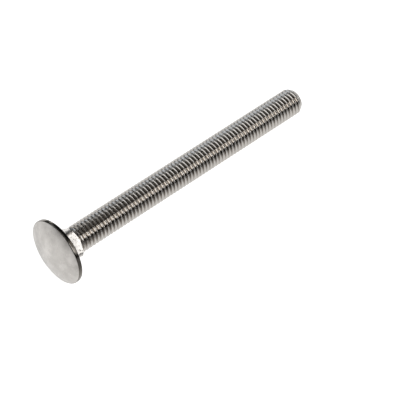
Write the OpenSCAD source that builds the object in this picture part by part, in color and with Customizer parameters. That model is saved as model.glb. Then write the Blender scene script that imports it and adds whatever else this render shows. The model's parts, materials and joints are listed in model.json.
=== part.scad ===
// Carriage bolt: a shallow domed head with a thin rim, a square neck that
// keeps it from turning in the hole, and a shank that is threaded all along.
// The bolt lies as it comes to rest on a flat surface, on the head's rim and
// on the thread beside the tip. The surface is z = 0, the head points to -X,
// and the bolt's length is centred on the origin. Units are millimetres.

/* [Head] */
// Outer diameter of the head
head_d = 23.5; // [19:0.1:40]
// Height of the rim, from the seating face to the foot of the dome
rim_h = 1.35; // [0.7:0.05:3]
// Height of the dome above the rim
dome_h = 3.1; // [1.5:0.1:6]
// Rounding of the rim's edge on the seating side
seat_edge_r = 0.3; // [0.1:0.05:0.4]
// Rounding of the rim's edge on the dome's side
dome_edge_r = 0.35; // [0.05:0.05:0.5]

/* [Square neck] */
// Width of the neck across its flats
neck_w = 10; // [9:0.1:13]
// Depth of the neck, from the seating face to the thread
neck_h = 6; // [3:0.1:10]
// Rounding of the neck's four long edges
neck_corner_r = 1.6; // [0.2:0.1:2.5]
// Length over which the neck's corners taper down to the thread
neck_taper_len = 1; // [0.5:0.1:2]
// Fillet between the neck and the seating face
neck_fillet_r = 0.45; // [0.1:0.05:0.8]
// Turn of the neck about the bolt's axis, from a flat that faces up
neck_turn = 47; // [0:1:90]

/* [Shank] */
// Length of the bolt, from the seating face to the tip
bolt_l = 109.25; // [30:0.25:200]
// Major diameter of the thread
thread_d = 9.75; // [8.5:0.05:12]
// Length of the chamfer at the tip
tip_chamfer_len = 1.6; // [0.3:0.1:3]
// Diameter of the flat end face
tip_d = 7.9; // [4:0.1:8.2]

/* [Hidden] */
$fn = 96;

steel = [0.72, 0.71, 0.69];
// Depth to which one shape is sunk into the next, so that they join
sink = 0.1;

head_r = head_d / 2;
thread_r = thread_d / 2;
tip_r = tip_d / 2;
chamfer_start = bolt_l - tip_chamfer_len;

// The dome is part of a sphere that meets the top of the rim. Its centre is
// on the axis, above the seating face.
dome_r = (head_r * head_r + dome_h * dome_h) / (2 * dome_h);
dome_centre = dome_r - dome_h - rim_h;

// Middle of each rounding of the rim: [distance from the axis, height]
seat_edge = [head_r - seat_edge_r, -seat_edge_r];
dome_edge_x = head_r - dome_edge_r;
dome_edge = [dome_edge_x, dome_centre - sqrt(pow(dome_r - dome_edge_r, 2) - pow(dome_edge_x, 2))];
// Direction from the dome's centre through that rounding
dome_edge_dir = (dome_edge - [0, dome_centre]) / (dome_r - dome_edge_r);

// Half of a flat's straight width, and the reach of a corner from the axis
flat_half = neck_w / 2 - neck_corner_r;
corner_reach = flat_half * sqrt(2) + neck_corner_r;

// The surface touches the rounding of the rim and the thread where the tip's
// chamfer starts. lie_angle is the slope of the axis down to the tip.
lie_run = chamfer_start - seat_edge.y;
lie_drop = seat_edge.x - thread_r;
lie_angle = atan2(lie_drop, lie_run) + asin(seat_edge_r / norm([lie_run, lie_drop]));

// Place of the seating face's centre
seat_z = seat_edge_r + seat_edge.y * sin(lie_angle) + seat_edge.x * cos(lie_angle);
head_end = dome_centre * cos(lie_angle) - dome_r;
tip_end = bolt_l * cos(lie_angle) + tip_r * sin(lie_angle);
seat_x = -(head_end + tip_end) / 2;

// Rounds one corner of a flat shape: middle and radius of the rounding, where
// it meets the two sides, and the corner itself
module round_corner(middle, radius, side_a, corner, side_b) {
    difference() {
        children();
        polygon([middle, 2 * side_a - middle, 2 * corner - middle, 2 * side_b - middle]);
    }
    translate(middle) circle(r = radius);
}

// Half section of the head, with the seating face at y = 0
module head_section() {
    round_corner(seat_edge, seat_edge_r, [head_r, seat_edge.y], [head_r, 0], [seat_edge.x, 0])
        round_corner(dome_edge, dome_edge_r, [head_r, dome_edge.y], [head_r, -rim_h],
                     dome_edge + dome_edge_r * dome_edge_dir)
            intersection() {
                translate([0, -rim_h - dome_h]) square([head_r, rim_h + dome_h]);
                translate([0, dome_centre]) circle(r = dome_r);
            }
}

module head() {
    rotate_extrude() head_section();
}

// Outline of the neck, a square with rounded corners
module neck_outline() {
    square([neck_w, 2 * flat_half], center = true);
    square([2 * flat_half, neck_w], center = true);
    for (x = [-flat_half, flat_half], y = [-flat_half, flat_half])
        translate([x, y]) circle(r = neck_corner_r);
}

// Section of the fillet at the neck's foot: the neck is at x < 0, the
// seating face at y = 0
module fillet_section() {
    difference() {
        translate([-sink, -sink]) square(neck_fillet_r + sink);
        translate([neck_fillet_r, neck_fillet_r]) circle(r = neck_fillet_r);
    }
}

module neck_fillet() {
    for (turn = [0 : 90 : 270]) rotate([0, 0, turn]) {
        translate([neck_w / 2, flat_half, 0]) rotate([90, 0, 0])
            linear_extrude(2 * flat_half) fillet_section();
        translate([flat_half, flat_half, 0])
            rotate_extrude(angle = 90) translate([neck_corner_r, 0]) fillet_section();
    }
}

// The neck's outline, with its corners turned down to the thread at the end
module neck() {
    intersection() {
        translate([0, 0, -sink]) linear_extrude(neck_h + sink) neck_outline();
        rotate_extrude() polygon([
            [0, -1],
            [2 * corner_reach - thread_r, -1],
            [2 * corner_reach - thread_r, neck_h - 2 * neck_taper_len],
            [thread_r, neck_h],
            [0, neck_h]
        ]);
    }
    neck_fillet();
}

// The thread's envelope and the chamfered tip
module shank() {
    rotate_extrude() polygon([
        [0, neck_h - sink],
        [thread_r, neck_h - sink],
        [thread_r, chamfer_start],
        [tip_r, bolt_l],
        [0, bolt_l]
    ]);
}

module carriage_bolt() {
    color(steel)
        translate([seat_x, 0, seat_z]) rotate([0, 90 + lie_angle, 0]) {
            head();
            rotate([0, 0, neck_turn]) neck();
            shank();
        }
}

carriage_bolt();
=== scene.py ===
import json
import math

import bmesh
import bpy
from mathutils import Matrix, Vector


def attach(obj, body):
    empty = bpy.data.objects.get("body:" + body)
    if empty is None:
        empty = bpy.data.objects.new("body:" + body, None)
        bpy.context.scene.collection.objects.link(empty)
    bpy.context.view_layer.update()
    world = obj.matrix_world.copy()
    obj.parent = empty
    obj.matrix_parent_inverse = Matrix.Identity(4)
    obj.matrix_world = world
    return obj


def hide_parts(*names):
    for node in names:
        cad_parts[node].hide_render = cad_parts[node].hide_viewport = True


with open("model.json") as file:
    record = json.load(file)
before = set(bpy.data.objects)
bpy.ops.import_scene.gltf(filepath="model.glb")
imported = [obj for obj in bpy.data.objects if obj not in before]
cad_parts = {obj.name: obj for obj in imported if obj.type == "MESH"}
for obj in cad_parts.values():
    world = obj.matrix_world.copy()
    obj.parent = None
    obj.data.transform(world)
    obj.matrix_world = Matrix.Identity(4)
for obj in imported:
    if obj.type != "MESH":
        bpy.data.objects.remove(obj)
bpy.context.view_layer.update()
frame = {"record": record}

# ---------------------------------------------------------------- sizes of the bolt, in metres
MM = 0.001
mounts = {mount["name"]: mount for mount in frame["record"]["mounts"]}
axis = Vector(mounts["shank"]["axis"]).normalized()
seat = Vector(mounts["seating_face"]["pos_m"])
seat.y = 0
shank_middle = Vector(mounts["shank"]["pos_m"])
shank_half = mounts["shank"]["dims"]["length_mm"] * MM / 2

thread_r = mounts["shank"]["dims"]["r_mm"] * MM
neck_h = (shank_middle - seat).dot(axis) - shank_half
chamfer_start = (shank_middle - seat).dot(axis) + shank_half
tip_chamfer_len = 1.6 * MM
bolt_l = chamfer_start + tip_chamfer_len
tip_r = 3.95 * MM

head_r = 11.75 * MM
rim_h = 1.35 * MM
dome_h = 3.1 * MM
seat_edge_r = 0.3 * MM
dome_edge_r = 0.35 * MM
rim_band_w = 0.33 * MM

neck_w = 10 * MM
neck_corner_r = 1.6 * MM
neck_taper_len = 1.0 * MM
neck_fillet_r = 0.45 * MM
neck_turn = math.radians(47)

pitch = 1.5 * MM
crest_w = 0.28 * MM
crest_r = 0.1 * MM
root_r = 0.1443 * pitch
blank_r = 4.5 * MM
run_in = 1.2 * MM
point_len = 2.4 * MM
thread_turn = math.radians(140)

# How far one shape reaches past the next, so that they join
sink = 0.5 * MM
# Slack for telling which finish a face on a border has
hair = 0.02 * MM
# Vertices this close are merged, and a cut this close to one goes through it
merge_dist = 1e-7
cut_dist = 1e-9

# From the bolt's own frame, with the seating face at z = 0 and the thread along +Z,
# to where it lies: the same turn and place as the CAD node has.
lie_angle = math.asin(-axis.z)
lay_down = Matrix.Translation(seat) @ Matrix.Rotation(math.pi / 2 + lie_angle, 4, "Y")


# ---------------------------------------------------------------- shapes
def arc(middle, radius, start, end, steps):
    """Points (distance from the axis, height) along an arc, angles in degrees."""
    angles = [math.radians(start + (end - start) * i / steps) for i in range(steps + 1)]
    return [(middle[0] + radius * math.cos(a), middle[1] + radius * math.sin(a)) for a in angles]


def outline(shape, points):
    """Adds a chain of vertices and edges in the XZ plane."""
    verts = [bmesh.ops.create_vert(shape, co=(x, 0, z))["vert"][0] for x, z in points]
    edges = [shape.edges.new(pair) for pair in zip(verts, verts[1:])]
    return verts + edges


def turned(points, steps=160):
    """A closed solid of revolution from a half section that starts and ends on the axis."""
    shape = bmesh.new()
    bmesh.ops.spin(
        shape, geom=outline(shape, points), cent=(0, 0, 0), axis=(0, 0, 1),
        angle=2 * math.pi, steps=steps, use_merge=True,
    )
    bmesh.ops.remove_doubles(shape, verts=shape.verts, dist=merge_dist)
    bmesh.ops.recalc_face_normals(shape, faces=shape.faces)
    return shape


def as_object(name, shape):
    """Turns a shape into an object of the scene."""
    mesh = bpy.data.meshes.new(name)
    shape.to_mesh(mesh)
    shape.free()
    piece = bpy.data.objects.new(name, mesh)
    bpy.context.scene.collection.objects.link(piece)
    return piece


def combine(piece, other, operation):
    """Joins, cuts or keeps what is common with another object, then removes that object."""
    modifier = piece.modifiers.new("combine", "BOOLEAN")
    modifier.operation = operation
    modifier.solver = "MANIFOLD"
    modifier.object = other
    depsgraph = bpy.context.evaluated_depsgraph_get()
    result = bpy.data.meshes.new_from_object(piece.evaluated_get(depsgraph))
    piece.modifiers.remove(modifier)
    piece.data = result
    bpy.data.objects.remove(other)


def head_shape():
    dome_r = (head_r ** 2 + dome_h ** 2) / (2 * dome_h)
    dome_centre = dome_r - dome_h - rim_h
    edge_x = head_r - dome_edge_r
    slope = math.degrees(math.asin(edge_x / (dome_r - dome_edge_r)))
    edge_z = dome_centre - (dome_r - dome_edge_r) * math.cos(math.radians(slope))
    points = arc((0, dome_centre), dome_r, -90, -90 + slope, steps=28)
    points += arc((edge_x, edge_z), dome_edge_r, -90 + slope, 0, steps=6)[1:]
    points += arc((head_r - seat_edge_r, -seat_edge_r), seat_edge_r, 0, 90, steps=6)
    points += [(0, 0)]
    points[0] = (0, points[0][1])  # exactly on the axis
    return turned(points)


def spread_foot(shape):
    """The fillet at the neck's foot: rings of the outline, each pushed out by the fillet's width there."""
    rings = 6
    for ring in range(rings + 1):
        rise = neck_fillet_r * (1 - math.cos(math.radians(90 * ring / rings)))
        geom = list(shape.verts) + list(shape.edges) + list(shape.faces)
        bmesh.ops.bisect_plane(shape, geom=geom, dist=cut_dist, plane_co=(0, 0, rise), plane_no=(0, 0, 1))
    flat_half = neck_w / 2 - neck_corner_r
    for vert in shape.verts:
        rise = min(max(vert.co.z, 0), neck_fillet_r)
        width = neck_fillet_r - math.sqrt(neck_fillet_r ** 2 - (neck_fillet_r - rise) ** 2)
        inner_x = min(max(vert.co.x, -flat_half), flat_half)
        inner_y = min(max(vert.co.y, -flat_half), flat_half)
        outward = Vector((vert.co.x - inner_x, vert.co.y - inner_y, 0))
        vert.co += outward.normalized() * width


def neck_shape():
    """A square prism with rounded long edges, sunk a little into the head."""
    shape = bmesh.new()
    middle = Matrix.Translation((0, 0, (neck_h - sink) / 2))
    size = Matrix.Diagonal((neck_w, neck_w, neck_h + sink, 1))
    bmesh.ops.create_cube(shape, size=1, matrix=middle @ size)
    long_edges = [e for e in shape.edges if abs(e.verts[0].co.z - e.verts[1].co.z) > neck_h / 2]
    bmesh.ops.bevel(
        shape, geom=long_edges, offset=neck_corner_r, affect="EDGES",
        segments=10, profile=0.5, material=-1,
    )
    spread_foot(shape)
    bmesh.ops.rotate(shape, verts=shape.verts, cent=(0, 0, 0), matrix=Matrix.Rotation(neck_turn, 3, "Z"))
    bmesh.ops.recalc_face_normals(shape, faces=shape.faces)
    return shape


def neck_taper_shape():
    """The cone that turns the neck's corners down to the thread."""
    corner_reach = (neck_w / 2 - neck_corner_r) * math.sqrt(2) + neck_corner_r
    outer = 2 * corner_reach - thread_r
    low = -2 * sink
    taper_start = neck_h - 2 * neck_taper_len
    return turned([(0, low), (outer, low), (outer, taper_start), (thread_r, neck_h), (0, neck_h)])


def eased(share):
    """A share from 0 to 1 that leaves both ends softly, and stays within them."""
    share = min(max(share, 0), 1)
    return share * share * (3 - 2 * share)


def cut_flat(shape, height, side):
    """Cuts off what is above (side 1) or below (side -1) a height, and closes the cut with a face."""
    geom = list(shape.verts) + list(shape.edges) + list(shape.faces)
    bmesh.ops.bisect_plane(
        shape, geom=geom, dist=cut_dist, plane_co=(0, 0, height), plane_no=(0, 0, side), clear_outer=True,
    )
    near = 0.001 * MM
    border = [
        e for e in shape.edges
        if e.is_boundary and all(abs(v.co.z - height) < near for v in e.verts)
    ]
    bmesh.ops.contextual_create(shape, geom=border)


def thread_shape():
    """One pitch of the thread's section, swept up one turn of the helix and then repeated."""
    groove_half = (pitch - crest_w) / 2
    root = thread_r - groove_half * math.sqrt(3) + 2 * root_r
    corner = groove_half + crest_r * math.tan(math.radians(30))
    section = arc((root, 0), root_r, 180, 120, steps=3)
    section += arc((thread_r - crest_r, corner), crest_r, -60, 0, steps=3)
    section += arc((thread_r - crest_r, pitch - corner), crest_r, 0, 60, steps=3)
    section += arc((root, pitch), root_r, 240, 180, steps=3)
    first = neck_h - 3 * pitch
    turns = math.ceil((bolt_l - first) / pitch) + 2
    steps = 64
    shape = bmesh.new()
    bmesh.ops.spin(
        shape, geom=outline(shape, [(x, first + z) for x, z in section]), cent=(0, 0, 0),
        axis=(0, 0, 1), dvec=(0, 0, pitch / steps), angle=2 * math.pi, steps=steps,
    )
    one_turn = list(shape.verts) + list(shape.edges) + list(shape.faces)
    for turn in range(1, turns):
        copy = bmesh.ops.duplicate(shape, geom=one_turn)["geom"]
        copied = [v for v in copy if isinstance(v, bmesh.types.BMVert)]
        bmesh.ops.translate(shape, verts=copied, vec=(0, 0, turn * pitch))
    bmesh.ops.remove_doubles(shape, verts=shape.verts, dist=merge_dist)
    bmesh.ops.rotate(shape, verts=shape.verts, cent=(0, 0, 0), matrix=Matrix.Rotation(thread_turn, 3, "Z"))
    # the first turns fade into the plain blank at the neck, the last ones into the plain point
    for vert in shape.verts:
        radius = math.hypot(vert.co.x, vert.co.y)
        wanted = blank_r + (radius - blank_r) * eased((vert.co.z - neck_h) / run_in)
        wanted = thread_r + (wanted - thread_r) * eased((bolt_l - vert.co.z) / point_len)
        vert.co.x *= wanted / radius
        vert.co.y *= wanted / radius
    cut_flat(shape, neck_h - sink, -1)
    cut_flat(shape, bolt_l - 0.001 * MM, 1)
    bmesh.ops.recalc_face_normals(shape, faces=shape.faces)
    return shape


def tip_envelope_shape():
    """What the thread stays inside: a cylinder with the tip's chamfer."""
    slope = (thread_r - tip_r) / (bolt_l - chamfer_start)
    outer = thread_r + sink
    low = neck_h - 2 * sink
    slope_start = bolt_l - (outer - tip_r) / slope
    return turned([(0, low), (outer, low), (outer, slope_start), (tip_r, bolt_l), (0, bolt_l)])


def make_bolt():
    bolt = as_object("threaded_carriage_bolt", neck_shape())
    combine(bolt, as_object("taper", neck_taper_shape()), "INTERSECT")
    combine(bolt, as_object("head", head_shape()), "UNION")
    shank = as_object("shank", thread_shape())
    combine(shank, as_object("envelope", tip_envelope_shape()), "INTERSECT")
    combine(bolt, shank, "UNION")
    lay_out_finishes(bolt)
    bolt.data.transform(lay_down)
    for face in bolt.data.polygons:
        face.use_smooth = True
    bolt.data.set_sharp_from_angle(angle=math.radians(35))
    return bolt


# ---------------------------------------------------------------- finishes
def linear(hex_colour):
    """An sRGB hex colour as linear red, green, blue and alpha."""
    parts = [int(hex_colour[i:i + 2], 16) / 255 for i in (1, 3, 5)]
    return [p / 12.92 if p <= 0.04045 else ((p + 0.055) / 1.055) ** 2.4 for p in parts] + [1]


def add_node(material, kind, settings=None, **inputs):
    """Adds a node, sets its settings and inputs; an input that is another node's socket is linked."""
    tree = material.node_tree
    node = tree.nodes.new(kind)
    for name, value in (settings or {}).items():
        setattr(node, name, value)
    for name, value in inputs.items():
        socket = node.inputs[int(name[3:]) if name.startswith("in_") else name.replace("_", " ")]
        if isinstance(value, bpy.types.NodeSocket):
            tree.links.new(value, socket)
        else:
            socket.default_value = value
    return node


def link(material, output, socket):
    material.node_tree.links.new(output, socket)


def new_metal(name):
    material = bpy.data.materials.new(name)
    material.use_nodes = True
    shader = material.node_tree.nodes["Principled BSDF"]
    shader.inputs["Metallic"].default_value = 1
    return material, shader


def bolt_coordinates(material):
    """Object coordinates turned into the bolt's own frame, with the axis along Z, in metres."""
    place = add_node(material, "ShaderNodeTexCoord")
    return add_node(
        material, "ShaderNodeMapping", {"vector_type": "TEXTURE"}, Vector=place.outputs["Object"],
        Location=seat, Rotation=(0, math.pi / 2 + lie_angle, 0),
    ).outputs["Vector"]


def noise(material, where, spacing, **inputs):
    """Soft noise from 0 to 1, with its blotches about that far apart."""
    node = add_node(material, "ShaderNodeTexNoise", Vector=where, Scale=1 / spacing, **inputs)
    return node.outputs["Fac"]


def blend(material, share, start_colour, end_colour):
    """A colour between two hex colours."""
    node = add_node(
        material, "ShaderNodeMix", {"data_type": "RGBA"}, Factor=share,
        in_6=linear(start_colour), in_7=linear(end_colour),
    )
    return node.outputs[2]


def ramp(material, value, start, end, low, high):
    """Low where the value is at start, high where it is at end, and no further."""
    node = add_node(
        material, "ShaderNodeMapRange", Value=value, From_Min=start, From_Max=end, To_Min=low, To_Max=high,
    )
    return node.outputs["Result"]


def dent(material, shader, height, strength, depth):
    bump = add_node(material, "ShaderNodeBump", Height=height, Strength=strength, Distance=depth)
    link(material, bump.outputs["Normal"], shader.inputs["Normal"])


def tumbled_steel():
    """Cold-headed and tumbled stainless steel: a soft satin with faint clouds. Its glossier spots
    show as fine specks where it mirrors something dark. The dents only show close up, if at all."""
    material, shader = new_metal("tumbled_stainless_steel")
    where = bolt_coordinates(material)
    clouds = noise(material, where, 5 * MM, Detail=4.0, Roughness=0.6)
    link(material, blend(material, clouds, "#9c9893", "#e8e4df"), shader.inputs["Base Color"])
    grain = noise(material, where, 0.9 * MM, Detail=3.0)
    link(material, ramp(material, grain, 0.3, 0.7, 0.26, 0.38), shader.inputs["Roughness"])
    dent(material, shader, grain, strength=0.12, depth=0.1 * MM)
    return material


def rim_steel_shade_and_wear():
    """The rim, cut by the trimming die: glossier than the dome, with faint wear. It is coloured darker than
    the dome as painted shade, for the shadowed floor it mirrors.
    """
    material, shader = new_metal("rim_stainless_steel_painted_shade")
    wear = noise(material, bolt_coordinates(material), 0.6 * MM, Detail=3.0)
    # Painted shade: the darker colour stands for the shadowed floor the rim mirrors; the noise in it is
    # faint wear.
    link(material, blend(material, wear, "#6d6862", "#918c85"), shader.inputs["Base Color"])
    link(material, ramp(material, wear, 0.3, 0.7, 0.14, 0.24), shader.inputs["Roughness"])
    return material


def neck_steel_painted_highlight():
    """The neck, with fine dark specks of scale as the die left it; its flats are coloured brighter than the
    other steel, as painted highlight for the light they catch. The specks are drawn 0.45 mm apart, coarser
    than the real ones, so that they show."""
    material, shader = new_metal("neck_stainless_steel_painted_highlight")
    shader.inputs["Roughness"].default_value = 0.28
    grit = noise(material, bolt_coordinates(material), 0.45 * MM, Detail=2.0)
    specks = ramp(material, grit, 0.56, 0.66, 0.0, 1.0)
    # Painted highlight: the flats' bright colour stands for the light they catch; the dark specks are scale.
    link(material, blend(material, specks, "#ece8e3", "#8f8a84"), shader.inputs["Base Color"])
    dent(material, shader, specks, strength=0.6, depth=0.05 * MM)
    return material


def thread_steel_painted_root_shade():
    """The thread, rolled by dies: bright crests and flanks, and roots coloured darker as painted shade in
    the grooves.
    """
    material, shader = new_metal("thread_stainless_steel_painted_root_shade")
    shader.inputs["Roughness"].default_value = 0.17
    where = bolt_coordinates(material)
    flat = add_node(material, "ShaderNodeVectorMath", {"operation": "MULTIPLY"}, in_0=where, in_1=(1, 1, 0))
    radius = add_node(material, "ShaderNodeVectorMath", {"operation": "LENGTH"}, in_0=flat.outputs["Vector"])
    # Painted shade: the colour darkens from the crests down into the roots, where shade falls.
    height = ramp(material, radius.outputs["Value"], thread_r - 0.84 * MM, thread_r - 0.3 * MM, 0.0, 1.0)
    link(material, blend(material, height, "#7b736a", "#c1bdb8"), shader.inputs["Base Color"])
    return material


def sheared_steel():
    """The end face, sheared off flat: duller than the rest, with coarse grey blotches."""
    material, shader = new_metal("sheared_stainless_steel")
    blotches = noise(material, bolt_coordinates(material), 1.2 * MM, Detail=3.0)
    link(material, blend(material, blotches, "#98948f", "#ccc8c3"), shader.inputs["Base Color"])
    link(material, ramp(material, blotches, 0.3, 0.7, 0.32, 0.44), shader.inputs["Roughness"])
    return material


FINISHES = [tumbled_steel, rim_steel_shade_and_wear, neck_steel_painted_highlight, thread_steel_painted_root_shade, sheared_steel]


def finish_at(place):
    """The finish of a face by its middle, while the bolt is still upright in its own frame."""
    if place.z < hair:
        on_rim = math.hypot(place.x, place.y) > head_r - rim_band_w
        return rim_steel_shade_and_wear if on_rim else tumbled_steel
    if place.z < neck_h - hair:
        return neck_steel_painted_highlight
    if place.z < bolt_l - hair:
        return thread_steel_painted_root_shade
    return sheared_steel


def lay_out_finishes(bolt):
    bolt.data.materials.clear()
    for finish in FINISHES:
        bolt.data.materials.append(finish())
    for face in bolt.data.polygons:
        face.material_index = FINISHES.index(finish_at(face.center))


bolt = make_bolt()
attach(bolt, "root")
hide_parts("carriage_bolt")


# ---------------------------------------------------------------- floor, light and camera
# In reflections the floor glows behind and under the bolt, and fades out in front of it: that fade is
# painted shadow, standing for the bolt's shadow on the paper.
FLOOR_GLOW = 0.75
GLOW_STARTS_Y = -34 * MM
GLOW_FULL_Y = -11 * MM
FLOOR_HALF = 3
LAMP_DISTANCE = 0.9
COOL = "#eef6ff"
WARM = "#fff6ec"


def make_floor():
    """White paper on a light table. It glows, and to the camera it is pure white, so no shadow shows."""
    shape = bmesh.new()
    bmesh.ops.create_grid(shape, x_segments=1, y_segments=1, size=FLOOR_HALF)
    floor = as_object("pale_floor", shape)
    material = bpy.data.materials.new("white_paper")
    material.use_nodes = True
    shader = material.node_tree.nodes["Principled BSDF"]
    shader.inputs["Base Color"].default_value = linear("#dadada")
    shader.inputs["Roughness"].default_value = 0.9
    shader.inputs["Emission Color"].default_value = (1, 1, 1, 1)
    place = add_node(material, "ShaderNodeTexCoord")
    where = add_node(material, "ShaderNodeSeparateXYZ", Vector=place.outputs["Object"])
    # Painted shadow: the glow fades out in front of the bolt, where its shadow would lie, and this shows
    # only in reflections.
    glow = ramp(material, where.outputs["Y"], GLOW_STARTS_Y, GLOW_FULL_Y, 0.0, FLOOR_GLOW)
    seen = add_node(material, "ShaderNodeLightPath")
    glow = add_node(
        material, "ShaderNodeMath", {"operation": "MAXIMUM"}, in_0=glow, in_1=seen.outputs["Is Camera Ray"],
    )
    link(material, glow.outputs["Value"], shader.inputs["Emission Strength"])
    floor.data.materials.append(material)
    return floor


def towards(azimuth, elevation):
    """Turns +Z that way, in degrees; azimuth is counted from +X towards +Y."""
    level = Matrix.Rotation(math.radians(90 - elevation), 4, "Y")
    return Matrix.Rotation(math.radians(azimuth), 4, "Z") @ level


def add_softbox(name, azimuth, elevation, width, height, watts, colour="#ffffff"):
    """A softbox that faces the bolt from that side."""
    lamp = bpy.data.lights.new(name, "AREA")
    lamp.shape = "RECTANGLE"
    lamp.size = height
    lamp.size_y = width
    lamp.energy = watts
    lamp.color = linear(colour)[:3]
    light = bpy.data.objects.new(name, lamp)
    light.matrix_world = towards(azimuth, elevation) @ Matrix.Translation((0, 0, LAMP_DISTANCE))
    bpy.context.scene.collection.objects.link(light)


def make_studio():
    """A room that is dark to the bolt, and white where the camera looks past the floor."""
    world = bpy.data.worlds.new("dark_studio")
    bpy.context.scene.world = world
    world.use_nodes = True
    background = world.node_tree.nodes["Background"]
    background.inputs["Color"].default_value = (1, 1, 1, 1)
    seen = add_node(world, "ShaderNodeLightPath")
    link(world, seen.outputs["Is Camera Ray"], background.inputs["Strength"])
    bpy.context.scene.view_settings.view_transform = "Standard"


def add_camera():
    lens = bpy.data.cameras.new("camera")
    lens.sensor_width = 36
    lens.lens = 153.4
    lens.clip_start = 0.01
    camera = bpy.data.objects.new("camera", lens)
    target = Vector((-0.0009, -0.0121, 0.006))
    distance = 0.5743
    away = (towards(-133.5, 49) @ Vector((0, 0, 1))).normalized()
    camera.location = target + away * distance
    camera.rotation_euler = away.to_track_quat("Z", "Y").to_euler()
    bpy.context.scene.collection.objects.link(camera)
    bpy.context.scene.camera = camera


# Between the softboxes the room is dark, and the thread mirrors both. The two front boxes make
# the highlight along its middle and head_side most of the stripes above that. back_low and
# tip_low brighten the arcs along its top. The dome and the neck are lit mainly by the floor.
add_softbox("front", azimuth=280, elevation=42, width=0.3, height=0.55, watts=2.4)
add_softbox("front_low", azimuth=300, elevation=24, width=0.3, height=0.3, watts=0.35)
add_softbox("tip_front", azimuth=320, elevation=40, width=0.3, height=0.3, watts=0.2, colour=WARM)
add_softbox("tip_low", azimuth=40, elevation=14, width=0.75, height=0.35, watts=1.4)
add_softbox("back_high", azimuth=90, elevation=48, width=0.45, height=0.45, watts=0.8, colour=COOL)
add_softbox("back_low", azimuth=130, elevation=14, width=0.5, height=0.3, watts=0.5, colour=COOL)
add_softbox("head_side", azimuth=170, elevation=24, width=0.6, height=0.3, watts=0.9)
add_softbox("overhead", azimuth=0, elevation=90, width=0.6, height=0.6, watts=0.5)
make_floor()
make_studio()
add_camera()
